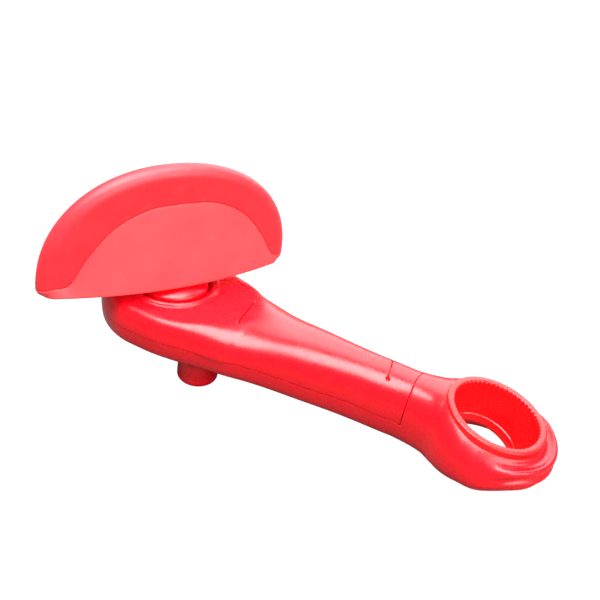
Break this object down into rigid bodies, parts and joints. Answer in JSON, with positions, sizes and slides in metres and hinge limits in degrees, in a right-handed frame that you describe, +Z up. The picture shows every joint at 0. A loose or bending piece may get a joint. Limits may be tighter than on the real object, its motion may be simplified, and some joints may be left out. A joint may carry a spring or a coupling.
{
  "type": "manual can opener",
  "caption": "Hand-held can opener with a large half-disc turning knob, a geared feed wheel and cutter under its head, and a ribbed cap-opening ring at the handle's end.",
  "frame": {"origin": "on the table, under the middle of the opener's bounding box as it lies at rest on its cutting post, its guide post and the end of its handle", "axes": "+Z up from the table, +X from the head towards the cap ring, +Y to the left of that; the knob's axis leans about 9 degrees from +Z towards +X"},
  "size_m": [0.2265, 0.1144, 0.105],
  "materials": {
    "gloss_red": "gloss",
    "satin_red": "satin",
    "soft_red": "matte",
    "pale_red": "gloss",
    "acetal": "satin",
    "steel": "satin",
    "blade_steel": "satin"
  },
  "bodies": {
    "housing": {"upper_cover": "gloss_red", "lower_body": "gloss_red", "cap_ring": "pale_red", "guide_post": "gloss_red", "bearing_plate": "steel", "shaft_bush_upper": "acetal", "shaft_bush_lower": "acetal", "spindle_bush_upper": "acetal", "spindle_bush_lower": "acetal", "turret_bush": "acetal", "plate_screws": "steel", "body_screws": "steel"},
    "knob": {"knob_core": "satin_red", "knob_grip": "soft_red", "knob_hub": "gloss_red", "knob_shaft": "steel", "knob_gear": "acetal", "knob_screw": "steel", "gear_washer": "steel"},
    "drive": {"drive_spindle": "steel", "drive_gear": "steel", "drive_wheel": "steel", "spindle_clip": "steel"},
    "clutch": {"clutch_gear": "acetal"},
    "turret": {"cutter_turret": "gloss_red", "turret_cap": "gloss_red", "turret_shaft": "steel", "wave_washer": "steel", "turret_clip": "steel", "cutter_axle": "steel"},
    "cutter": {"cutter_wheel": "blade_steel"}
  },
  "joints": [
    {"name": "knob_spin", "type": "hinge", "parent": "housing", "child": "knob", "pos_m": [-0.07734, 0.00224, 0.04243], "axis": [0.1651, 0, 0.9863], "continuous": true},
    {"name": "drive_spin", "type": "hinge", "parent": "housing", "child": "drive", "pos_m": [-0.06733, -0.00827, 0.0291], "axis": [0.1651, 0, 0.9863], "continuous": true},
    {"name": "clutch_spin", "type": "hinge", "parent": "housing", "child": "clutch", "pos_m": [-0.05162, -0.00976, 0.02647], "axis": [0.1651, 0, 0.9863], "continuous": true},
    {"name": "turret_turn", "type": "hinge", "parent": "housing", "child": "turret", "pos_m": [-0.05302, -0.00976, 0.01809], "axis": [0.1651, 0, 0.9863], "range_deg": [0, 100]},
    {"name": "cutter_spin", "type": "hinge", "parent": "turret", "child": "cutter", "pos_m": [-0.05376, -0.00687, 0.00888], "axis": [0.1651, 0, 0.9863], "continuous": true}
  ],
  "couplings": [
    {"joint": "drive_spin", "follows": "knob_spin", "ratio": -1.6667},
    {"joint": "clutch_spin", "follows": "knob_spin", "ratio": 1}
  ]
}
